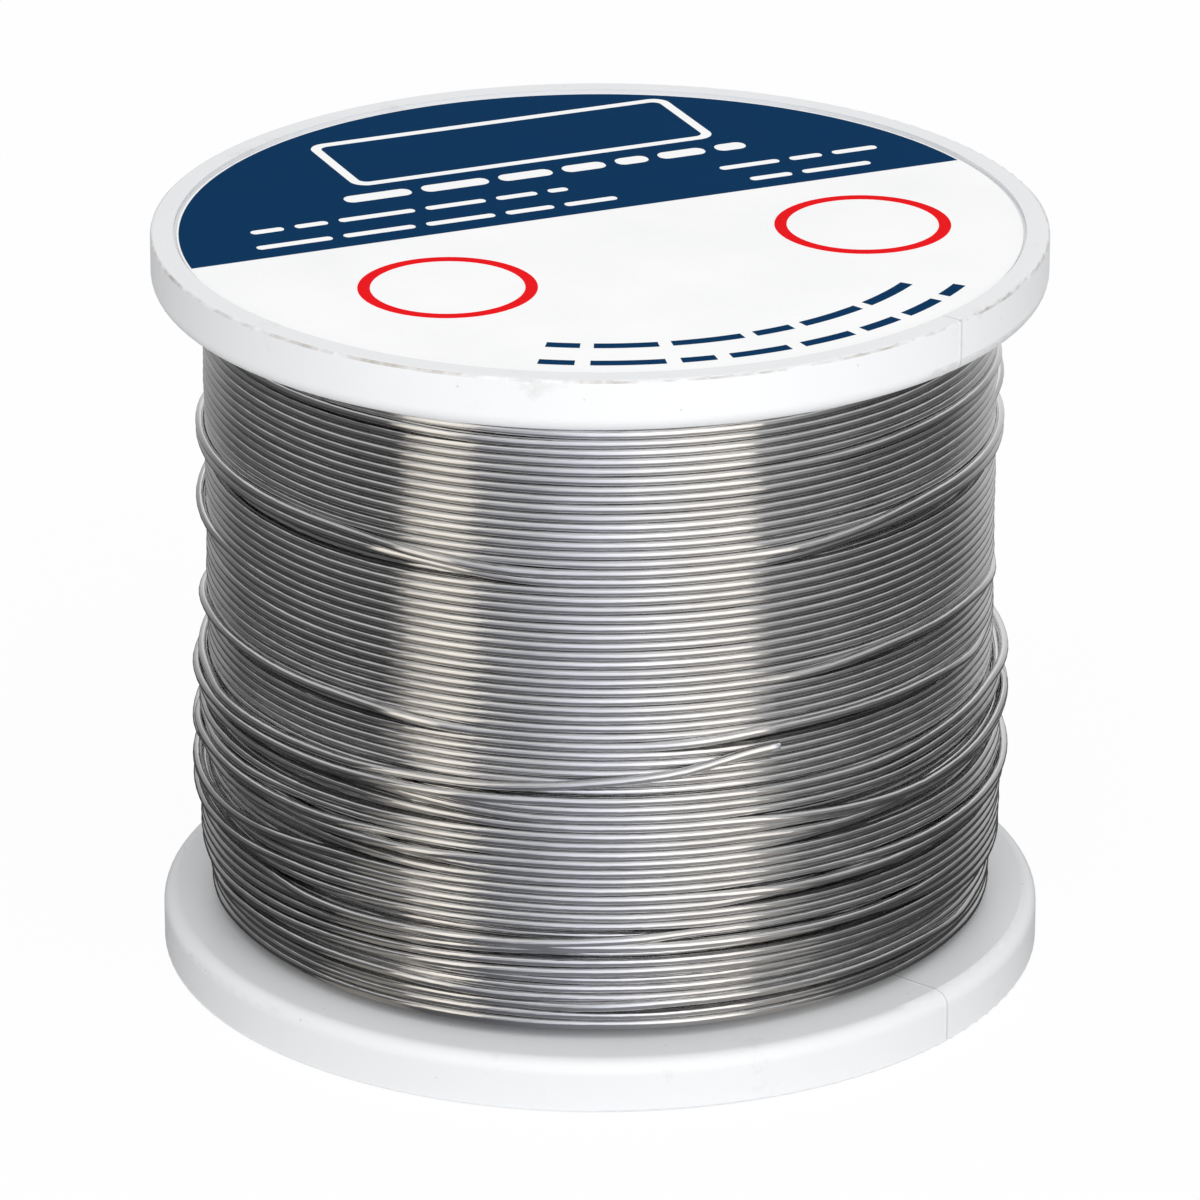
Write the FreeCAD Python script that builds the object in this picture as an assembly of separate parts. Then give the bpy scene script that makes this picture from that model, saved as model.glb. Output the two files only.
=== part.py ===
import FreeCAD, Part
import math
import os

# Half-kilogram reel of flux-cored solder wire. The reel is one white moulding: two thick flanges, a
# hollow barrel, and a hub tube held by webs. The wire is level-wound on the barrel in layers, one
# traverse to a layer. A round paper label lies in the shallow recess of the upper flange.
# Millimetres. The origin is the centre of the base, +Z runs up the reel's axis.

# Reel moulding
flange_radius = 33.0
reel_height = 56.4
flange_thickness = 4.0
inner_edge_radius = 1.1      # rounding of each flange's edge on the wire side
outer_edge_radius = 0.25     # rounding of each flange's edge on the outside
lip_width = 1.7              # raised ring round each flange's outer face
recess_depth = 0.4           # depth of the label seat inside that ring
barrel_radius = 20.0
barrel_wall = 2.0
bore_radius = 5.5
hub_wall = 2.0
bore_chamfer = 0.5
web_count = 4
web_thickness = 1.8

# Wire
wire_diameter = 0.7
flux_core_diameter = 0.26
winding_inset = 3.7          # how far the full winding lies inside the flange's edge
nominal_layer_rise = 0.66    # a layer beds partly into the grooves of the one below
taper_height = 3.6           # the outer layers stop short of the lower flange in steps
taper_depth = 2.2            # how much thinner the winding is where it meets that flange
top_turns_low = 10.8         # height of the last, part-filled traverse above the base
top_turns_high = 27.0
layer_gap = 0.02             # between one layer and the next, and over the barrel
end_gap = 0.05               # between a layer's end turn and the flange

# Ends of the wire
start_height = 7.0           # where the wire's start goes through the barrel wall
start_angle = 15.0
start_hole_clearance = 0.15
start_bend_radius = 2.0
start_tail_length = 9.0
end_height = 25.3            # where the wire's outer end lies over the last turns
end_angle = -80.0
end_sweep = 31.0
end_rise_angle = 7.2
end_clearance = 0.08         # between the outer end and the turns that it lies on

# Label
label_thickness = 0.12
label_clearance = 0.25       # round the label's edge
label_gap = 0.02             # glue line

wire_radius = wire_diameter / 2
winding_radius = flange_radius - winding_inset
winding_low = flange_thickness + end_gap
winding_high = reel_height - flange_thickness - end_gap
barrel_inner_radius = barrel_radius - barrel_wall
hub_radius = bore_radius + hub_wall
seat_radius = flange_radius - lip_width
seat_low = recess_depth
seat_high = reel_height - recess_depth
up = FreeCAD.Vector(0, 0, 1)


def ring(inner, outer, low, high):
    """Closed ring about the reel's axis."""
    base = FreeCAD.Vector(0, 0, low)
    body = Part.makeCylinder(outer, high - low, base)
    return body.cut(Part.makeCylinder(inner, high - low, base))


def rim_edges(body, height):
    """Edges round the flange's full radius at one height."""
    close = 1e-6
    return [edge for edge in body.Edges
            if isinstance(edge.Curve, Part.Circle)
            and abs(edge.Curve.Radius - flange_radius) < close
            and abs(edge.Curve.Center.z - height) < close]


def reel_outside():
    """Solid spool shape: a barrel between two flanges, edges rounded, with both label seats sunk."""
    body = Part.makeCylinder(barrel_radius, reel_height)
    for low in (0, reel_height - flange_thickness):
        body = body.fuse(Part.makeCylinder(flange_radius, flange_thickness, FreeCAD.Vector(0, 0, low)))
    body = body.removeSplitter()
    for height in (flange_thickness, reel_height - flange_thickness):
        body = body.makeFillet(inner_edge_radius, rim_edges(body, height))
    for height in (0, reel_height):
        body = body.makeFillet(outer_edge_radius, rim_edges(body, height))
    for low in (0, seat_high):
        body = body.cut(Part.makeCylinder(seat_radius, recess_depth, FreeCAD.Vector(0, 0, low)))
    return body


def barrel_pockets():
    """The hollow of the barrel between its wall and the hub, less the webs that cross it."""
    hollow = ring(hub_radius, barrel_inner_radius, seat_low, seat_high)
    corner = FreeCAD.Vector(0, -web_thickness / 2, seat_low)
    for index in range(web_count):
        web = Part.makeBox(barrel_inner_radius, web_thickness, seat_high - seat_low, corner)
        web.rotate(FreeCAD.Vector(), up, index * 360 / web_count)
        hollow = hollow.cut(web)
    return hollow


def bore_tool():
    """The spindle bore with a chamfer at each mouth."""
    tool = Part.makeCylinder(bore_radius, reel_height)
    mouth = bore_radius + bore_chamfer
    tool = tool.fuse(Part.makeCone(mouth, bore_radius, bore_chamfer, FreeCAD.Vector(0, 0, seat_low)))
    top = FreeCAD.Vector(0, 0, seat_high - bore_chamfer)
    return tool.fuse(Part.makeCone(bore_radius, mouth, bore_chamfer, top))


def outward(angle):
    """Unit vector across the reel at an angle from +X."""
    turn = math.radians(angle)
    return FreeCAD.Vector(math.cos(turn), math.sin(turn), 0)


def start_hole_tool():
    """The hole through the barrel wall that anchors the wire's start."""
    direction = outward(start_angle)
    overrun = barrel_wall / 2
    start = direction * (barrel_inner_radius - overrun) + up * start_height
    length = barrel_wall + 2 * overrun
    return Part.makeCylinder(wire_radius + start_hole_clearance, length, start, direction)


def reel_body():
    body = reel_outside().cut(barrel_pockets())
    body = body.cut(bore_tool())
    return body.cut(start_hole_tool())


def face_label():
    radius = seat_radius - label_clearance
    return Part.makeCylinder(radius, label_thickness, FreeCAD.Vector(0, 0, seat_high + label_gap))


def wire_layers():
    """One ring to a traverse of the wire, from the barrel out to the full winding."""
    build = winding_radius - barrel_radius - layer_gap - wire_diameter
    rises = round(build / nominal_layer_rise)
    rise = build / rises
    taper_from = winding_radius - taper_depth
    layers = {}
    for index in range(rises + 1):
        inner = barrel_radius + layer_gap + index * rise
        last = index == rises
        outer = inner + (wire_diameter if last else rise - layer_gap)
        share = max(0, (outer - taper_from) / taper_depth)
        layers[f"wire_layer_{index + 1:02d}"] = ring(inner, outer, winding_low + share * taper_height,
                                                     winding_high)
    return layers


def wire_top_turns():
    """The part-filled traverse that lies over the last full layer."""
    inner = winding_radius + layer_gap
    return ring(inner, inner + wire_diameter, top_turns_low, top_turns_high)


def round_along(path, radius, start, direction):
    """Rod of one radius swept along a path of straight runs and tangent arcs."""
    circle = Part.Wire(Part.makeCircle(radius, start, direction))
    return Part.Wire(path).makePipeShell([circle], True, True)


def start_tail(radius):
    """The wire's start: in through the barrel wall, round a bend, then up inside the barrel."""
    direction = outward(start_angle)
    level = up * start_height
    start = direction * barrel_radius + level
    bend_at = direction * barrel_inner_radius + level
    centre = bend_at + up * start_bend_radius
    bend_end = centre - direction * start_bend_radius
    middle = centre - (direction + up) * start_bend_radius * math.sqrt(0.5)
    finish = bend_end + up * start_tail_length
    path = [Part.LineSegment(start, bend_at).toShape(),
            Part.Arc(bend_at, middle, bend_end).toShape(),
            Part.LineSegment(bend_end, finish).toShape()]
    return round_along(path, radius, start, direction * -1)


def outer_end(radius):
    """The wire's outer end: an arc that climbs over the last turns to the cut."""
    path_radius = winding_radius + layer_gap + wire_diameter + end_clearance + wire_radius
    arc = Part.makeTorus(path_radius, radius, FreeCAD.Vector(), up, -180, 180, end_sweep)
    arc.rotate(FreeCAD.Vector(), up, -end_sweep / 2)
    arc.rotate(FreeCAD.Vector(), FreeCAD.Vector(1, 0, 0), end_rise_angle)
    arc.rotate(FreeCAD.Vector(), up, end_angle)
    arc.translate(up * end_height)
    return arc


def cored(rod):
    """A length of cored wire as its solder jacket and its flux core."""
    core = rod(flux_core_diameter / 2)
    return rod(wire_radius).cut(core), core


nodes = {"reel_body": reel_body(), "face_label": face_label()}
nodes.update(wire_layers())
nodes["wire_top_turns"] = wire_top_turns()
nodes["wire_start_tail"], nodes["flux_core_start_tail"] = cored(start_tail)
nodes["wire_outer_end"], nodes["flux_core_outer_end"] = cored(outer_end)

os.makedirs("parts", exist_ok=True)
for name, shape in nodes.items():
    solids = shape.Solids
    if not shape.isValid() or len(solids) != 1:
        raise ValueError(f"{name}: {len(solids)} solids, valid {shape.isValid()}")
    solids[0].exportStep(f"parts/{name}.step")
    box = shape.optimalBoundingBox()
    print(f"{name:22s} {shape.Volume:10.2f} mm3  z {box.ZMin:6.2f} to {box.ZMax:6.2f}")
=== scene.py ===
import math

import bpy
import numpy as np
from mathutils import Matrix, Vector


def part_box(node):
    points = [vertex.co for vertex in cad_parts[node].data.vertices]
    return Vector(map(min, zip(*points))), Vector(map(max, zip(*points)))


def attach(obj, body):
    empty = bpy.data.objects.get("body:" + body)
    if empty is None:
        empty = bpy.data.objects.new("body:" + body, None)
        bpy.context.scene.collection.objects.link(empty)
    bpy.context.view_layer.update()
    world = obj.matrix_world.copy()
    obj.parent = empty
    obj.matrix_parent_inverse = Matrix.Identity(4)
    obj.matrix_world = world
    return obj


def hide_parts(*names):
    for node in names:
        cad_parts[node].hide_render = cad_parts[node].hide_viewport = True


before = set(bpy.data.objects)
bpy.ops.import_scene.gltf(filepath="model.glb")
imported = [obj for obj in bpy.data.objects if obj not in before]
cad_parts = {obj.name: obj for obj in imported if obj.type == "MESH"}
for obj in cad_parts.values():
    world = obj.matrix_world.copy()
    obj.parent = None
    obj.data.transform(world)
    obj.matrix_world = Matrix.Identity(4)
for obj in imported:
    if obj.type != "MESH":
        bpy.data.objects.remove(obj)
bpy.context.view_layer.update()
print("frame loaded")

mm = 0.001
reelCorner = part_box("reel_body")[1]
reelRadius = reelCorner.x
reelHeight = reelCorner.z
middleHeight = reelHeight / 2
wireLayerCount = sum(name.startswith("wire_layer_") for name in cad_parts)


def addPiece(name, mesh):
    # a piece of the reel, which moves with its one body
    piece = bpy.data.objects.new(name, mesh)
    bpy.context.scene.collection.objects.link(piece)
    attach(piece, "root")
    return piece


def addStage(name, mesh):
    # something round the reel that isn't part of it
    thing = bpy.data.objects.new(name, mesh)
    bpy.context.scene.collection.objects.link(thing)
    return thing


def newMesh(name, points, faces):
    mesh = bpy.data.meshes.new(name)
    mesh.from_pydata(points.tolist(), [], faces)
    mesh.update()
    return mesh


def gridFaces(rows, columns, closeRows=False, closeColumns=False):
    # quads over a grid of points numbered row by row; a closed direction joins its last line to its first
    row = np.arange(rows if closeRows else rows - 1)[:, None]
    column = np.arange(columns if closeColumns else columns - 1)[None, :]
    nextRow = (row + 1) % rows
    nextColumn = (column + 1) % columns
    quads = (row * columns + column, nextRow * columns + column,
             nextRow * columns + nextColumn, row * columns + nextColumn)
    return np.stack(quads, axis=-1).reshape(-1, 4)


def addNode(material, kind, **settings):
    # a small first letter sets the node's own setting, a capital one sets the input of that name
    node = material.node_tree.nodes.new(kind)
    for key, value in settings.items():
        if key[0].islower():
            setattr(node, key, value)
        else:
            node.inputs[key.replace("_", " ")].default_value = value
    return node


def join(material, source, sink):
    material.node_tree.links.new(source, sink)


def newMaterial(name, kind="ShaderNodeBsdfPrincipled"):
    material = bpy.data.materials.new(name)
    material.use_nodes = True
    material.node_tree.nodes.clear()
    shader = addNode(material, kind)
    output = addNode(material, "ShaderNodeOutputMaterial")
    join(material, shader.outputs[0], output.inputs["Surface"])
    return material, shader


def objectPlace(material):
    return addNode(material, "ShaderNodeTexCoord").outputs["Object"]


def splitPlace(material, place):
    node = addNode(material, "ShaderNodeSeparateXYZ")
    join(material, place, node.inputs[0])
    return node.outputs


def calculate(material, operation, *values):
    # one arithmetic node, whose values are numbers or other nodes' outputs
    node = addNode(material, "ShaderNodeMath", operation=operation)
    for index, value in enumerate(values):
        if isinstance(value, (int, float)):
            node.inputs[index].default_value = value
        else:
            join(material, value, node.inputs[index])
    return node.outputs[0]


def stretch(material, place, factors):
    # a place with each coordinate multiplied by its own factor
    node = addNode(material, "ShaderNodeVectorMath", operation="MULTIPLY")
    node.inputs[1].default_value = factors
    join(material, place, node.inputs[0])
    return node.outputs[0]


noiseSpan = (0.3, 0.7)      # nearly all of a noise texture's values lie between these


def noise(material, place, scale, detail, roughness=0.5):
    node = addNode(material, "ShaderNodeTexNoise", Scale=scale, Detail=detail, Roughness=roughness)
    join(material, place, node.inputs["Vector"])
    return node.outputs["Fac"]


def remap(material, value, low, high, between=(0, 1)):
    # a value's range from low to high, carried over to another range
    node = addNode(material, "ShaderNodeMapRange", From_Min=low, From_Max=high,
                   To_Min=between[0], To_Max=between[1])
    join(material, value, node.inputs["Value"])
    return node.outputs[0]


def mixColours(material, shader, share, clean, other):
    # the shader's colour goes from one colour to another with the share
    node = addNode(material, "ShaderNodeMix", data_type="RGBA")
    node.inputs["A"].default_value = clean
    node.inputs["B"].default_value = other
    join(material, share, node.inputs["Factor"])
    join(material, node.outputs["Result"], shader.inputs["Base Color"])


def addRelief(material, shader, height, depth, strength=1.0):
    node = addNode(material, "ShaderNodeBump", Strength=strength, Distance=depth)
    join(material, height, node.inputs["Height"])
    join(material, node.outputs[0], shader.inputs["Normal"])


def paintNodes(names, material):
    for name in names:
        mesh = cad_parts[name].data
        mesh.materials.clear()
        mesh.materials.append(material)


view = {
    "elevation": 21.97,      # degrees above the horizon, level with the middle of the reel
    "distance": 605.6 * mm,
    "lens": 243.3,
    "sensor": 36.0,
    "drop": 1.43 * mm,       # the camera aims this far below the middle of the reel
    "nearest": 0.01,
    "farthest": 20,
}


def makeCamera():
    camera = bpy.data.cameras.new("camera")
    camera.lens = view["lens"]
    camera.sensor_width = view["sensor"]
    camera.clip_start = view["nearest"]
    camera.clip_end = view["farthest"]
    tilt = math.radians(view["elevation"])
    towards = Vector((0, math.cos(tilt), -math.sin(tilt)))
    upward = Vector((0, math.sin(tilt), math.cos(tilt)))
    piece = bpy.data.objects.new("camera", camera)
    piece.location = Vector((0, 0, middleHeight)) - towards * view["distance"] - upward * view["drop"]
    piece.rotation_euler = towards.to_track_quat("-Z", "Y").to_euler()
    bpy.context.scene.collection.objects.link(piece)
    bpy.context.scene.camera = piece


makeCamera()
print("camera set")


winding = {
    "wire": 0.7 * mm,
    "fluxCore": 0.26 * mm,
    "layerRise": 0.66 * mm,
    "depth": 3.7 * mm,       # how far the full winding lies inside the flange's edge
    "flange": 4.05 * mm,     # the flange's inner face
    "outermost": reelRadius - 2.75 * mm,
    "spare": 0.012,          # gap between neighbouring turns, in wires
    "unevenness": 0.010,     # how far that gap varies
    "gapWave": 0.37,         # turns from one value of the gap to the next
    "waver": 0.05 * mm,      # how far a turn wavers in and out, as drawn wire does
    "waverWave": 0.035,      # turns from one waver to the next
    "touching": 0.985,       # turns closer than this, in wires, lie on each other
    "softening": 9,          # columns over which a step in the stack is smoothed
    "columns": 240,          # places round the reel at which the stacking is worked out
    "seed": 11,
}
# name, layers below the outermost full one, lowest turn's lift above the flange in mm, columns per ring,
# and sides of the wire
layers = (
    ("wireLayer10", 4, 0.0, 4, 6),
    ("wireLayer11", 3, 0.0, 4, 10),
    ("wireLayer12", 2, 0.0, 3, 10),
    ("wireLayer13", 1, 0.15, 3, 12),
    ("wireLayer14", 0, 0.45, 2, 12),
)
# Stray turns: height above the base in mm, then the angle of the middle, half the flat length and the slope's
# length in degrees, then how many wires' widths it is pushed up or down, and how many turns go with it. It
# rides over its neighbours there and leaves a groove in its own place.
neatStrays = (
    (40.4, -64, 22, 36, 1.5, 2),
    (40.4, 70, 16, 32, 1.5, 2),
    (31.4, 56, 9, 22, 0.9, 1),
    (47.0, 62, 10, 26, 0.35, 1),
    (50.6, -52, 12, 34, 0.4, 1),
    (27.2, 40, 12, 24, 1.0, 1),
    (27.8, -58, 16, 26, 1.1, 1),
    (7.4, -48, 10, 30, 0.7, 1),
    (6.6, 30, 16, 26, 0.7, 1),
    (35.0, -130, 30, 30, 1.5, 1),
    (44.0, 150, 40, 30, 1.5, 2),
    (30.5, 175, 35, 30, 1.2, 1),
)
topStrays = (
    (21.8, -52, 14, 30, 1.2, 2),
    (17.4, -56, 14, 28, 1.3, 1),
    (19.4, 74, 14, 28, 1.2, 1),
    (14.0, 48, 8, 26, 1.0, 1),
    (12.6, -24, 10, 26, -0.8, 1),
)
lastTraverse = {
    "lift": 4.4,             # mm above the flange at which it starts
    "high": 24.1,            # height of its last full turn, mm
    "spare": 0.05,
    "unevenness": 0.03,
    "swell": 0.30,           # mm that neighbouring turns wander together
    "drift": (0.1, 0.25),    # radians that the wandering shifts from one turn to the next
    "strayEvery": 2,         # turns from one with strays, one to each side, to the next
    "strayAngle": (15, 165),
    "strayFlat": (5, 22),
    "straySlope": (26, 42),
    "strayPush": (-0.9, 0.8, 0.9),
    "climb": 80,             # columns over which the wire climbs from the layer below
    "climbOut": 24,          # columns over which it comes out from that layer's radius
    "endHeight": 26.3,       # where the cut end lies, mm
    # the end's climb to that height: degrees, and share of the way up
    "endClimb": ((-16, 0), (0, 0.3), (13, 0.55), (19, 0.88), (25.3, 1)),
    "fluxSpan": (-3, 0.06),  # degrees from the cut between which the flux shows
    "step": 2,
    "sides": 12,
}
wire = winding["wire"]
columns = winding["columns"]
columnAngle = np.arange(columns) * 360 / columns - 180     # degrees from the front towards +X
bottomTurn = winding["flange"] + wire / 2
topTurn = reelHeight - winding["flange"] - wire / 2
outerBed = reelRadius - winding["depth"] - wire / 2


def easeInOut(share):
    # a rise from 0 to 1 that starts and ends level: three squares less two cubes
    return share * share * (3 - 2 * share)


def smoothNoise(rng, count, wavelength):
    # random values a given share of a turn apart, joined by a smooth curve
    knots = int(count / (wavelength * columns)) + 4
    values = rng.uniform(-1, 1, knots)
    place = np.arange(count) / (wavelength * columns) + 1
    left = place.astype(int)
    share = easeInOut(place - left)
    return values[left] * (1 - share) + values[left + 1] * share


def plateau(away, flat, slope):
    # 1 within the flat part round a place, falling to 0 over the slope on each side
    return easeInOut(np.clip((flat + slope - np.abs(away)) / slope, 0, 1))


def layTurns(rng, start, finish, spare, unevenness):
    # heights of a layer's turns: each lies against the one before, plus an uneven gap
    turns = int(abs(finish - start) / (wire * (1 + spare)))
    gap = spare + unevenness * smoothNoise(rng, (turns + 1) * columns, winding["gapWave"])
    climb = np.zeros((turns + 1, columns))
    climb[0] = np.arange(columns) / columns * wire * (1 + spare)
    for turn in range(1, turns + 1):
        climb[turn] = climb[turn - 1] + wire * (1 + gap[turn * columns:(turn + 1) * columns])
    return start + climb * (finish - start) / climb[-1, -1]


def pushStrays(heights, strays):
    # each stray adds a plateau to the heights, by the degrees along the wire, which go on from turn to turn
    path = np.arange(len(heights))[:, None] * 360 + columnAngle
    for height, centre, flat, slope, push, count in strays:
        middle = heights[:, np.argmin(np.abs(columnAngle - centre))]
        nearest = np.argsort(np.abs(middle - height * mm))[:count]
        for turn in nearest:
            heights += push * wire * plateau(path - turn * 360 - centre, flat, slope)
    return heights


def stackTurns(heights, laid, bed):
    # Each turn rests on what lies under it. A wire nearer in height than one width pushes it out by the third
    # side of a right triangle whose long side is that width, and the largest push counts.
    radii = np.empty_like(heights)
    for turn in range(len(heights)):
        allHeights = np.concatenate([laid[0], heights[:turn]])
        allRadii = np.concatenate([laid[1], radii[:turn]])
        across = np.abs(allHeights - heights[turn])
        reach = np.sqrt(np.clip(wire ** 2 - across ** 2, 0, None))
        forced = np.where(across < wire * winding["touching"], allRadii + reach, 0)
        radii[turn] = np.clip(forced.max(axis=0, initial=0), bed, winding["outermost"])
    return radii


def smoothAlong(values):
    # running mean along the wire with a soft-edged window
    window = np.hanning(winding["softening"] + 2)[1:-1]
    padded = np.pad(values.ravel(), winding["softening"] // 2, mode="edge")
    return np.convolve(padded, window / window.sum(), mode="valid")[:values.size].reshape(values.shape)


def wireTube(name, heights, radii, angles, sides, thickness=wire):
    # A round wire along a path: a circle in the plane of the outward and upward directions, carried round the
    # reel, with a fan of triangles over each end. Its UV map holds the millimetres along the wire and the
    # angle round it.
    turn = np.radians(angles)[:, None]
    around = np.arange(sides) * 2 * np.pi / sides + np.pi
    outward = radii[:, None] + thickness / 2 * np.cos(around)
    height = heights[:, None] + thickness / 2 * np.sin(around)
    rings = np.stack([outward * np.sin(turn), -outward * np.cos(turn), height], axis=-1)
    points = np.concatenate([rings.reshape(-1, 3), rings[[0, -1]].mean(axis=1)])
    side = np.arange(sides)
    nextSide = (side + 1) % sides
    lastRing = (len(heights) - 1) * sides
    startCap = np.stack([np.full(sides, len(points) - 2), nextSide, side], axis=-1)
    endCap = np.stack([np.full(sides, len(points) - 1), lastRing + side, lastRing + nextSide], axis=-1)
    skin = gridFaces(len(heights), sides, closeColumns=True)
    mesh = newMesh(name, points, skin.tolist() + startCap.tolist() + endCap.tolist())
    mesh.polygons.foreach_set("use_smooth", np.ones(len(mesh.polygons), bool))
    steps = np.linalg.norm(np.diff(rings[:, 0], axis=0), axis=1)
    length = np.concatenate([[0], np.cumsum(steps)])
    uv = np.stack(np.broadcast_arrays(length[:, None] / mm, around[None, :]), axis=-1).reshape(-1, 2)
    uv = np.concatenate([uv, uv[:1], uv[-1:]])
    vertexOfCorner = np.empty(len(mesh.loops), np.int32)
    mesh.loops.foreach_get("vertex_index", vertexOfCorner)
    layer = mesh.uv_layers.new(name="surface")
    layer.data.foreach_set("uv", uv[vertexOfCorner].astype(np.float32).ravel())
    mesh.update()
    return mesh


wireFinish = {
    "grey": (0.60, 0.78),            # darkest and lightest lengths of the wire
    "roughness": (0.05, 0.12),       # of the brightest and the dullest streaks
    "streaks": (0.12, 1.3, 1.3),     # their fineness per millimetre along the wire, and round it
    "nicks": (0.55, 0.9, 0.9),
    "lengths": (0.021, 0.0, 1),
    "relief": 0.03 * mm,
    "reliefStrength": 0.6,
    "buriedGrey": (0.68, 0.68, 0.68, 1),
    "buriedRoughness": 0.2,
    "flux": (0.42, 0.20, 0.045, 1),
    "fluxCloud": (0.62, 0.38, 0.13, 1),
    "fluxRoughness": 0.4,
    "fluxCloudScale": 2500,
}


def makeWireMaterial():
    # Drawn solder. Colour: grey with faint darker lengths. Gloss: streaks drawn out along the wire.
    # Relief: the same streaks, very shallow, and small nicks a millimetre or so long.
    material, shader = newMaterial("solderWire")
    shader.inputs["Metallic"].default_value = 1
    along = addNode(material, "ShaderNodeUVMap", uv_map="surface").outputs[0]
    distance, around, _ = splitPlace(material, along)
    # the distance, then the cosine and sine of the angle round the wire, so that the texture has no seam
    spot = addNode(material, "ShaderNodeCombineXYZ")
    join(material, distance, spot.inputs[0])
    join(material, calculate(material, "COSINE", around), spot.inputs[1])
    join(material, calculate(material, "SINE", around), spot.inputs[2])
    streaks = noise(material, stretch(material, spot.outputs[0], wireFinish["streaks"]), 1, 3, 0.6)
    nicks = noise(material, stretch(material, spot.outputs[0], wireFinish["nicks"]), 1, 2)
    lengths = noise(material, stretch(material, along, wireFinish["lengths"]), 1, 2)
    shade = remap(material, lengths, *noiseSpan, wireFinish["grey"])
    colour = addNode(material, "ShaderNodeCombineColor")
    for part in ("Red", "Green", "Blue"):
        join(material, shade, colour.inputs[part])
    join(material, colour.outputs[0], shader.inputs["Base Color"])
    gloss = remap(material, streaks, *noiseSpan, wireFinish["roughness"])
    join(material, gloss, shader.inputs["Roughness"])
    height = calculate(material, "ADD", streaks, nicks)
    addRelief(material, shader, height, wireFinish["relief"], wireFinish["reliefStrength"])
    return material


def makeFluxMaterial():
    # amber rosin with cloudy lighter places
    material, shader = newMaterial("fluxCore")
    shader.inputs["Roughness"].default_value = wireFinish["fluxRoughness"]
    cloud = noise(material, objectPlace(material), wireFinish["fluxCloudScale"], 2)
    mixColours(material, shader, cloud, wireFinish["flux"], wireFinish["fluxCloud"])
    return material


def makeInnerWireMaterial():
    # the buried layers: grey metal whose relief rises and falls once to a wire's width up the reel
    material, shader = newMaterial("buriedWire")
    shader.inputs["Base Color"].default_value = wireFinish["buriedGrey"]
    shader.inputs["Metallic"].default_value = 1
    shader.inputs["Roughness"].default_value = wireFinish["buriedRoughness"]
    z = splitPlace(material, objectPlace(material))["Z"]
    wave = calculate(material, "SINE", calculate(material, "MULTIPLY", z, 2 * math.pi / wire))
    addRelief(material, shader, wave, wire / 4)
    return material


wireMaterial = makeWireMaterial()
fluxMaterial = makeFluxMaterial()
buriedLayers = [f"wire_layer_{index:02d}" for index in range(1, wireLayerCount - len(layers) + 1)]
paintNodes(buriedLayers + ["wire_start_tail"], makeInnerWireMaterial())
paintNodes(["flux_core_start_tail"], fluxMaterial)


def addWirePiece(name, heights, radii, step, sides, replaced, last=None):
    # The wire's path with its waver, thinned to every few columns. It is carried on by one place, to where
    # the next layer starts, unless it has a last place of its own. Gives back where it ends.
    rng = np.random.default_rng(len(name) + len(heights))
    waver = winding["waver"] * smoothNoise(rng, radii.size, winding["waverWave"])
    last = radii.size if last is None else last
    kept = np.append(np.arange(0, last, step), last)
    wavered = radii.ravel() + waver
    height, radius = (np.append(values, values[-1])[kept] for values in (heights.ravel(), wavered))
    angles = kept * 360 / columns - 180
    mesh = wireTube(name, height, radius, angles, sides)
    mesh.materials.append(wireMaterial)
    piece = addPiece(name, mesh)
    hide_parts(*replaced)
    print(f"{name}: {len(heights)} turns, radius {radii.min() / mm:.2f} to {radii.max() / mm:.2f} mm")
    return height[-1], radius[-1], angles[-1]


def addFluxEnd(height, radius, angle):
    # the flux that shows at the cut end, as a short thin tube in the wire's middle
    angles = angle + np.linspace(*lastTraverse["fluxSpan"], 6)
    level = np.full_like(angles, height)
    core = wireTube("fluxEnd", level, np.full_like(angles, radius), angles, 12, winding["fluxCore"])
    core.materials.append(fluxMaterial)
    piece = addPiece("fluxEnd", core)
    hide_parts("flux_core_outer_end")


def wanderTogether(rng, heights):
    # adds one, two and three waves to a turn, shifted a little from turn to turn, and then lifts each turn to
    # at least a wire above the one below it
    travel = np.arange(heights.size).reshape(heights.shape) / columns
    for waves in (1, 2, 3):
        drift = rng.uniform(*lastTraverse["drift"])
        phase = 2 * np.pi * waves * travel + drift * travel + rng.uniform(0, 6.28)
        heights += lastTraverse["swell"] * mm / waves * np.sin(phase)
    fill = np.arange(len(heights))[:, None] * wire
    return np.maximum.accumulate(heights - fill, axis=0) + fill


def moreStrays(rng, heights):
    # every few turns one crosses its neighbours, once on each side of the reel
    made = lastTraverse
    strays = []
    for turn in range(2, len(heights) - 2, made["strayEvery"]):
        level = heights[turn, columns // 2] / mm
        for side in (-1, 1):
            strays.append((level, side * rng.uniform(*made["strayAngle"]), rng.uniform(*made["strayFlat"]),
                           rng.uniform(*made["straySlope"]), rng.choice(made["strayPush"]), 1))
    return strays


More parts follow.
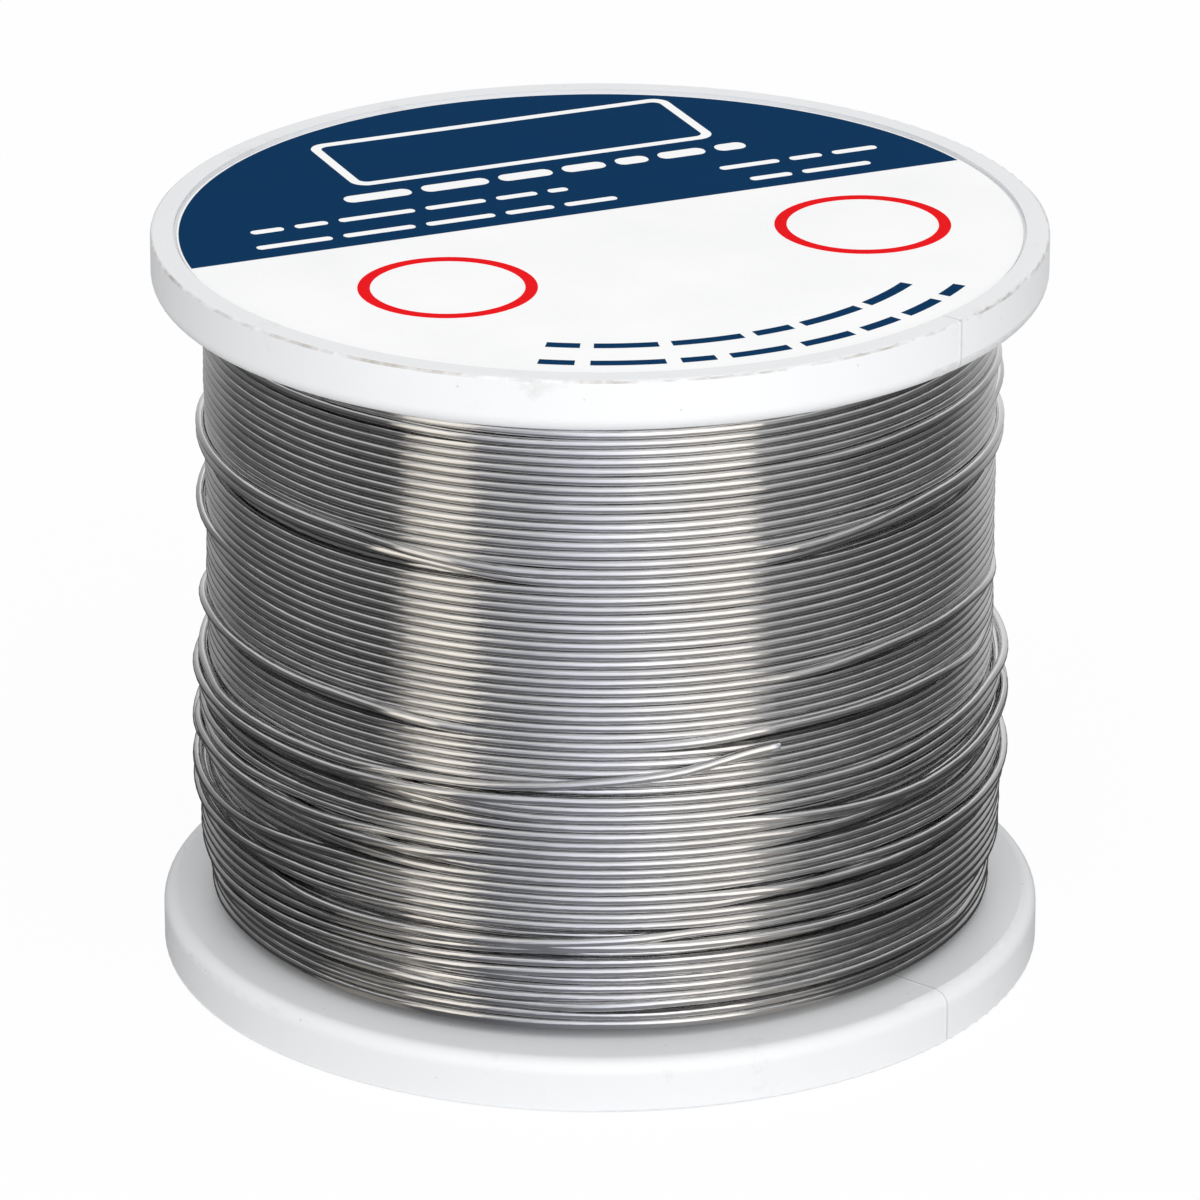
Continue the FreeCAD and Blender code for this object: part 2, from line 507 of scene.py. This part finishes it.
def makeLastTraverse(rng, laid):
    # the part-filled traverse: it climbs from the end of the layer below, and its own end lies over its turns
    made = lastTraverse
    start = bottomTurn + made["lift"] * mm
    heights = layTurns(rng, start, made["high"] * mm, made["spare"], made["unevenness"])
    heights = wanderTogether(rng, heights)
    heights = pushStrays(heights, list(topStrays) + moreStrays(rng, heights))
    settled = easeInOut(np.clip(np.arange(columns) / made["climb"], 0, 1))
    heights[0] += (laid[0][-1, -1] - heights[0, 0]) * (1 - settled)
    rise = smoothAlong(np.interp(columnAngle, *zip(*made["endClimb"])))
    heights[-1] += (made["endHeight"] * mm - heights[-1]) * rise
    radii = smoothAlong(stackTurns(heights, laid, outerBed))
    below = laid[1][-1, -1]
    out = made["climbOut"]
    radii[0] = np.maximum(radii[0], below)
    radii[0, :out] = np.linspace(below, radii[0, out], out)
    endAngle = made["endClimb"][-1][0]
    last = int((len(heights) - 1) * columns + np.searchsorted(columnAngle, endAngle))
    end = addWirePiece("wireLastTraverse", heights, radii, made["step"], made["sides"],
                       ["wire_top_turns", "wire_outer_end"], last)
    addFluxEnd(*end)


def makeWinding():
    rng = np.random.default_rng(winding["seed"])
    laid = (np.zeros((0, columns)), np.zeros((0, columns)))     # heights and radii of all turns so far
    for name, under, lift, step, sides in layers:
        ends = (bottomTurn + lift * mm, topTurn)
        start, finish = ends if under % 2 else ends[::-1]
        heights = layTurns(rng, start, finish, winding["spare"], winding["unevenness"])
        if under == 0:
            heights = pushStrays(heights, neatStrays)
        bed = outerBed - under * winding["layerRise"]
        radii = stackTurns(heights, laid, bed) if laid[0].size else np.full_like(heights, bed)
        radii = smoothAlong(radii)
        laid = (np.concatenate([laid[0], heights]), np.concatenate([laid[1], radii]))
        addWirePiece(name, heights, radii, step, sides, [f"wire_layer_{wireLayerCount - under:02d}"])
    makeLastTraverse(rng, laid)


makeWinding()
print("winding made")


# all lengths on the label are in millimetres, across and up from its middle along the printed baseline
label = {
    "turn": 23.3,            # degrees that the printed baseline is turned from +X
    "colourEdge": 3.4,       # from the middle to the straight edge of the dark segment
    "margin": 0.15,          # bare paper round the dark segment
    "inkFoot": 0.002,        # the ink's underside and top, above the paper
    "inkDepth": 0.012,
    "dark": (0.0030, 0.036, 0.105, 1),
    "red": (0.84, 0.010, 0.014, 1),
    "paper": (0.985, 0.99, 1.0, 1),
    "inkRoughness": 0.6,
    "inkSpecular": 0.005,
    "paperRoughness": 0.5,
    "paperSpecular": 0.5,
    "fibreScale": 5200,
    "fibreDepth": 0.01,
    "cloudScale": 130,
    "unevenness": (0.955, 1.035),    # tints of the darkest and the lightest places
    "panelCentre": (1.6, 20.6),
    "panelSize": (29.4, 10.3),
    "panelFrame": 0.75,
    "panelCorners": (0.7, 1.3),      # inside and outside
    # printed lines: start, finish, height and weight
    "lines": ((-15, 17.5, 13.0, 1.5), (-24, 1.2, 8.9, 0.8), (-24.8, 5.6, 5.6, 0.8), (13.5, 26.4, 8.6, 0.8),
              (14.6, 26.3, 5.5, 0.8)),
    "words": (2.4, 6.0),             # shortest and longest
    "wordGap": 0.9,
    "leastWord": 1.2,                # room below which a line has no further word
    "arcRadii": (25.2, 28.7),
    "arcSpan": (-122.0, -52, -49),   # degrees: start, where the last word starts at most, and where it ends
    "arcWords": (5, 13),             # degrees
    "arcGap": 2.2,
    "arcWeight": 0.95,
    "rings": ((-15.2, -7.6), (18.0, -7.0)),
    "ringRadii": (5.6, 6.5),
    "seed": 5,
}
labelLow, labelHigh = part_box("face_label")
labelRadius = labelHigh.x / mm
labelTop = labelHigh.z / mm
inkHeights = (labelTop + label["inkFoot"], labelTop + label["inkDepth"])


def turned(outline):
    # an outline turned from +X to the printed baseline
    turn = math.radians(label["turn"])
    across, along = outline.T
    x = across * math.cos(turn) - along * math.sin(turn)
    y = across * math.sin(turn) + along * math.cos(turn)
    return np.stack([x, y], axis=-1)


def lifted(outline, height):
    return np.column_stack([outline, np.full(len(outline), height)]) * mm


def slab(outline, low, high):
    # a thin closed solid over a convex outline: the outline at two heights, joined round its edge, with a
    # flat face over each
    count = len(outline)
    ring = np.arange(count)
    following = (ring + 1) % count
    edge = np.stack([ring, following, following + count, ring + count], axis=-1)
    return np.concatenate([lifted(outline, low), lifted(outline, high)]), [*edge, ring + count, ring[::-1]]


def band(inner, outer, closed=True):
    # a thin solid of ink between two lines of as many points: each line at the ink's foot and at its top,
    # joined round; a band that isn't closed has a face over each end
    low, high = inkHeights
    edges = ((inner, low), (outer, low), (outer, high), (inner, high))
    lines = [lifted(turned(line), height) for line, height in edges]
    faces = list(gridFaces(4, len(inner), True, closed)[:, ::-1])
    if not closed:
        start = np.arange(4) * len(inner)
        faces += [start, (start + len(inner) - 1)[::-1]]
    return np.concatenate(lines), faces


def arc(centre, radius, angles):
    # places at one distance from a centre, by their angles from +X
    return np.stack([centre[0] + radius * np.cos(angles), centre[1] + radius * np.sin(angles)], axis=-1)


def circle(centre, radius, steps=64):
    return arc(centre, radius, np.arange(steps) * 2 * np.pi / steps)


def roundedBox(centre, size, corner, steps=8):
    # a quarter circle at each corner, in order round the box
    turn = np.linspace(0, np.pi / 2, steps)
    quarters = []
    for quarter, (sideX, sideY) in enumerate(((1, 1), (-1, 1), (-1, -1), (1, -1))):
        middle = (centre[0] + sideX * (size[0] / 2 - corner), centre[1] + sideY * (size[1] / 2 - corner))
        quarters.append(arc(middle, corner, turn + quarter * np.pi / 2))
    return np.concatenate(quarters)


def darkSegment():
    # the arc of the label beyond the straight colour edge
    radius = labelRadius - label["margin"]
    reach = math.asin(label["colourEdge"] / radius)
    return slab(turned(arc((0, 0), radius, np.linspace(reach, np.pi - reach, 120))), *inkHeights)


def panelFrame():
    # a rounded box with a smaller one cut out of it
    inside, outside = label["panelCorners"]
    width, height = (side - 2 * label["panelFrame"] for side in label["panelSize"])
    inner = roundedBox(label["panelCentre"], (width, height), inside)
    return band(inner, roundedBox(label["panelCentre"], label["panelSize"], outside))


def lineOfDashes(rng, start, finish, height, weight):
    # a printed line stood for by plain rounded dashes of word length
    place = start
    dashes = []
    while place < finish - label["leastWord"]:
        length = min(rng.uniform(*label["words"]), finish - place)
        dash = roundedBox((place + length / 2, height), (length, weight), weight * 0.45)
        dashes.append(slab(turned(dash), *inkHeights))
        place += length + label["wordGap"]
    return dashes


def arcOfDashes(rng, radius):
    # a line of dashes bent round the label, each the band between two arcs
    place, lastStart, finish = label["arcSpan"]
    dashes = []
    while place < lastStart:
        length = rng.uniform(*label["arcWords"])
        turn = np.radians(np.linspace(place, min(place + length, finish), 14))
        sides = [arc((0, 0), radius + side * label["arcWeight"] / 2, turn) for side in (-1, 1)]
        dashes.append(band(*sides, closed=False))
        place += length + label["arcGap"]
    return dashes


def makePrinted(name, colour, roughness, specular):
    # Paper or ink: a fine fibre relief, and a colour a little uneven between fibres and in broad clouds.
    material, shader = newMaterial(name)
    shader.inputs["Roughness"].default_value = roughness
    shader.inputs["Specular IOR Level"].default_value = specular
    place = objectPlace(material)
    fibre = noise(material, place, label["fibreScale"], 3, 0.6)
    cloud = noise(material, place, label["cloudScale"], 3)
    share = remap(material, calculate(material, "ADD", fibre, cloud), 0.7, 1.3)
    darkest, lightest = ([min(part * tint, 1) for part in colour[:3]] + [1] for tint in label["unevenness"])
    mixColours(material, shader, share, darkest, lightest)
    addRelief(material, shader, fibre, label["fibreDepth"] * mm, 0.3)
    return material


def inkPiece(name, shapes, colour, raised=0):
    # several shapes of one ink in one mesh: each shape's faces count on from the points before it
    points = []
    faces = []
    total = 0
    for shapePoints, shapeFaces in shapes:
        points.append(shapePoints)
        faces += [(face + total).tolist() for face in shapeFaces]
        total += len(shapePoints)
    mesh = newMesh(name, np.concatenate(points) + (0, 0, raised * mm), faces)
    mesh.materials.append(makePrinted(name + "Ink", colour, label["inkRoughness"], label["inkSpecular"]))
    piece = addPiece(name, mesh)


def makePaper():
    points, faces = slab(circle((0, 0), labelRadius, 192), labelLow.z / mm, labelTop)
    mesh = newMesh("faceLabel", points, [face.tolist() for face in faces])
    mesh.materials.append(makePrinted("labelPaper", label["paper"], label["paperRoughness"],
                                      label["paperSpecular"]))
    paper = addPiece("faceLabel", mesh)
    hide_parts("face_label")


def makeLabel():
    rng = np.random.default_rng(label["seed"])
    makePaper()
    inkPiece("inkDark", [darkSegment()], label["dark"])
    light = [panelFrame()]
    for line in label["lines"]:
        light += lineOfDashes(rng, *line)
    inkPiece("inkLight", light, label["paper"], label["inkDepth"])
    dark = []
    for radius in label["arcRadii"]:
        dark += arcOfDashes(rng, radius)
    inkPiece("inkDarkLines", dark, label["dark"])
    rings = [band(*(circle(centre, radius) for radius in label["ringRadii"])) for centre in label["rings"]]
    inkPiece("inkRed", rings, label["red"])


makeLabel()
print("label made")


moulding = {
    "white": (0.80, 0.813, 0.828, 1),
    "dirt": (0.38, 0.33, 0.28, 1),
    "roughness": 0.38,
    "upperPartingLine": 51.0,     # degrees from the front towards +X
    "lowerPartingLine": 50.5,
    "lineWidth": 0.32,            # degrees to each side
    "lineTint": 0.04,
    "barrelRadius": 19.5 * mm,    # the line isn't on the core's side of the barrel
    "relief": 0.06 * mm,          # height of the parting line
    "peel": 0.10,                 # height of the orange peel, as a share of that
    "edgeWidth": 0.16 * mm,       # the sharp top edge, where dirt is caught
    "edgeDepth": 0.22 * mm,
    "peelScale": 900,
    "scuffScale": 170,
    "scuffStart": 0.60,           # noise above this is a scuff
    "scuffStrength": 1.6,
    "chipScale": 240,
    "chipStart": 0.42,            # noise above this is dirt on the edge
    "chipStrength": 3.0,
    "speckScale": 420,
    "speckSize": 0.04,            # in cells of that scale
    "speckStrength": 0.35,
    "mostDirt": 0.8,
}


def makePlastic():
    # White plastic. Relief: a faint orange peel and a fine ridge where the mould's halves met. Colour: white,
    # greyer in scuffs and specks, with dirt caught here and there on the sharp top edge.
    material, shader = newMaterial("whiteMoulding")
    shader.inputs["Roughness"].default_value = moulding["roughness"]
    place = objectPlace(material)
    x, y, z = splitPlace(material, place)

    def work(operation, *values):
        return calculate(material, operation, *values)

    angle = work("DEGREES", work("ARCTAN2", x, work("MULTIPLY", y, -1)))
    shift = moulding["lowerPartingLine"] - moulding["upperPartingLine"]
    shifted = work("MULTIPLY", work("LESS_THAN", z, middleHeight), shift)
    away = work("ABSOLUTE", work("SUBTRACT", angle, work("ADD", shifted, moulding["upperPartingLine"])))
    ridge = work("SUBTRACT", 1, work("MULTIPLY", away, 1 / moulding["lineWidth"]))
    radius = work("SQRT", work("ADD", work("MULTIPLY", x, x), work("MULTIPLY", y, y)))
    outside = work("GREATER_THAN", radius, moulding["barrelRadius"])
    ridge = work("MULTIPLY", work("MAXIMUM", ridge, 0), outside)
    edge = work("MULTIPLY", work("GREATER_THAN", radius, reelRadius - moulding["edgeWidth"]),
                work("GREATER_THAN", z, reelHeight - moulding["edgeDepth"]))
    peel = noise(material, place, moulding["peelScale"], 2)
    scuff = noise(material, place, moulding["scuffScale"], 8, 0.75)
    chip = noise(material, place, moulding["chipScale"], 4, 0.7)
    speck = addNode(material, "ShaderNodeTexVoronoi", Scale=moulding["speckScale"])
    join(material, place, speck.inputs["Vector"])
    scuffed = work("MULTIPLY", work("SUBTRACT", scuff, moulding["scuffStart"]), moulding["scuffStrength"])
    scuffed = work("MAXIMUM", scuffed, 0)
    specks = work("LESS_THAN", speck.outputs["Distance"], moulding["speckSize"])
    specks = work("MULTIPLY", specks, moulding["speckStrength"])
    chipped = work("MULTIPLY", work("SUBTRACT", chip, moulding["chipStart"]), moulding["chipStrength"])
    chipped = work("MULTIPLY", work("MAXIMUM", chipped, 0), edge)
    share = work("ADD", work("ADD", scuffed, specks), chipped)
    share = work("ADD", share, work("MULTIPLY", ridge, moulding["lineTint"]))
    share = work("MINIMUM", share, moulding["mostDirt"])
    mixColours(material, shader, share, moulding["white"], moulding["dirt"])
    height = work("ADD", work("MULTIPLY", peel, moulding["peel"]), ridge)
    addRelief(material, shader, height, moulding["relief"])
    paintNodes(["reel_body"], material)
    # the wire mirrors the studio, not the bright flanges
    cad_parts["reel_body"].visible_glossy = False


makePlastic()
print("moulding finished")


studio = {
    "floorReach": 3.0,
    "floorDrop": 0.03 * mm,          # just under the base, so that the two don't meet
    "floorColour": (0.94, 0.94, 0.94, 1),
    "floorGlow": 0.95,               # share of plain white that the camera and reflections see in the floor
    "shellRadius": 0.42,
    "shellGap": 0.3 * mm,            # its lowest part, above the floor
    # brightness seen along the horizon, by degrees from the camera's side towards +X
    "round": ((-180, 0.9), (-150, 0.40), (-120, 0.12), (-55.5, 0.10), (-53, (1.0, 0.93, 0.84)),
              (-43, (1.25, 1.16, 1.04)), (-35, (1.0, 0.94, 0.86)), (-33, (0.38, 0.38, 0.40)),
              (-20, (0.50, 0.51, 0.56)), (-6, (0.92, 0.94, 1.05)), (4, (1.15, 1.16, 1.26)),
              (14, (1.45, 1.44, 1.46)), (28, (1.5, 1.44, 1.38)), (41.5, (1.45, 1.37, 1.28)), (43.3, 0.48),
              (54, 0.28), (80, 0.12), (112, 0.13), (132, 0.40), (155, 0.75), (180, 0.9)),
    # share of that brightness, and the brightness of the lamp overhead, by degrees above the horizon
    "height": ((-90, 0.12), (-16, 0.25), (-6, 1.0), (30, 1.0), (44, 0.3), (90, 0.0)),
    "overhead": ((-90, 0.03), (25, 0.03), (37, 0.58), (90, 0.58)),
    "world": 0.62,
    "lampPlace": (0.12, -0.65, 0.57),
    "lampSize": 1.1,
    "lampWatts": 6.2,
}


def makeFloor():
    reach = studio["floorReach"]
    points = np.array([(-reach, -reach), (reach, -reach), (reach, reach), (-reach, reach)])
    points = np.column_stack([points, np.full(4, -studio["floorDrop"])])
    material, mix = newMaterial("floorWhite", "ShaderNodeMixShader")
    matt = addNode(material, "ShaderNodeBsdfPrincipled", Base_Color=studio["floorColour"], Roughness=0.9)
    white = addNode(material, "ShaderNodeEmission", Strength=1.0)
    paths = addNode(material, "ShaderNodeLightPath").outputs
    seen = calculate(material, "MAXIMUM", paths["Is Camera Ray"], paths["Is Glossy Ray"])
    join(material, calculate(material, "MULTIPLY", seen, studio["floorGlow"]), mix.inputs[0])
    join(material, matt.outputs[0], mix.inputs[1])
    join(material, white.outputs[0], mix.inputs[2])
    floor = addStage("floor", newMesh("floor", points, [(0, 1, 2, 3)]))
    floor.data.materials.append(material)


def colourRamp(material, source, stops, low, high):
    # colours by degrees, over a range of degrees
    node = addNode(material, "ShaderNodeValToRGB")
    elements = node.color_ramp.elements
    while len(elements) > 1:
        elements.remove(elements[-1])
    for index, (degrees, value) in enumerate(stops):
        place = (degrees - low) / (high - low)
        element = elements[0] if index == 0 else elements.new(place)
        element.position = place
        colour = value if isinstance(value, tuple) else (value, value, value)
        element.color = (*colour, 1)
    join(material, remap(material, source, low, high), node.inputs[0])
    return node.outputs["Color"]


def combine(material, blend, first, second):
    # two colours multiplied or added
    node = addNode(material, "ShaderNodeMix", data_type="RGBA", blend_type=blend)
    node.inputs["Factor"].default_value = 1
    join(material, first, node.inputs["A"])
    join(material, second, node.inputs["B"])
    return node.outputs["Result"]


def makeReflections():
    # A shell that only reflections see: soft boxes, dark sides and a lamp overhead. It is a ball round the
    # reel's middle, by its angle round and its angle up, flattened where it would pass through the floor.
    turns = np.linspace(0, 2 * np.pi, 64, endpoint=False)
    lifts = np.linspace(-np.pi / 2 + 0.01, np.pi / 2 - 0.01, 32)[:, None]
    across = studio["shellRadius"] * np.cos(lifts)
    level = np.maximum(studio["shellRadius"] * np.sin(lifts) + middleHeight, studio["shellGap"])
    points = np.stack(np.broadcast_arrays(across * np.cos(turns), across * np.sin(turns), level), axis=-1)
    faces = gridFaces(32, 64, closeColumns=True).tolist()
    shell = addStage("studioShell", newMesh("studioShell", points.reshape(-1, 3), faces))
    for kind in ("camera", "diffuse", "shadow", "transmission", "volume_scatter"):
        setattr(shell, "visible_" + kind, False)
    material, glow = newMaterial("studioShell", "ShaderNodeEmission")
    place = objectPlace(material)
    x, y, z = splitPlace(material, place)
    away = addNode(material, "ShaderNodeVectorMath", operation="LENGTH")
    join(material, stretch(material, place, (1, 1, 0)), away.inputs[0])
    angle = calculate(material, "ARCTAN2", x, calculate(material, "MULTIPLY", y, -1))
    height = calculate(material, "SUBTRACT", z, middleHeight)
    rise = calculate(material, "ARCTAN2", height, away.outputs["Value"])
    degreesRound = calculate(material, "DEGREES", angle)
    degreesUp = calculate(material, "DEGREES", rise)
    around = colourRamp(material, degreesRound, studio["round"], -180, 180)
    share = colourRamp(material, degreesUp, studio["height"], -90, 90)
    overhead = colourRamp(material, degreesUp, studio["overhead"], -90, 90)
    total = combine(material, "ADD", combine(material, "MULTIPLY", around, share), overhead)
    join(material, total, glow.inputs["Color"])
    material.cycles.emission_sampling = "NONE"
    shell.data.materials.append(material)


def makeLights():
    world = bpy.data.worlds.new("studio")
    world.use_nodes = True
    bpy.context.scene.world = world
    background = world.node_tree.nodes["Background"]
    background.inputs["Color"].default_value = (1, 1, 1, 1)
    background.inputs["Strength"].default_value = studio["world"]
    world.cycles_visibility.glossy = False
    light = bpy.data.lights.new("frontLamp", "AREA")
    light.size = studio["lampSize"]
    light.energy = studio["lampWatts"]
    lamp = bpy.data.objects.new("frontLamp", light)
    lamp.location = studio["lampPlace"]
    aim = Vector((0, 0, middleHeight)) - Vector(studio["lampPlace"])
    lamp.rotation_euler = aim.to_track_quat("-Z", "Y").to_euler()
    lamp.visible_glossy = False
    bpy.context.scene.collection.objects.link(lamp)


makeFloor()
makeReflections()
makeLights()
bpy.context.scene.view_settings.view_transform = "Standard"
print("stage set")
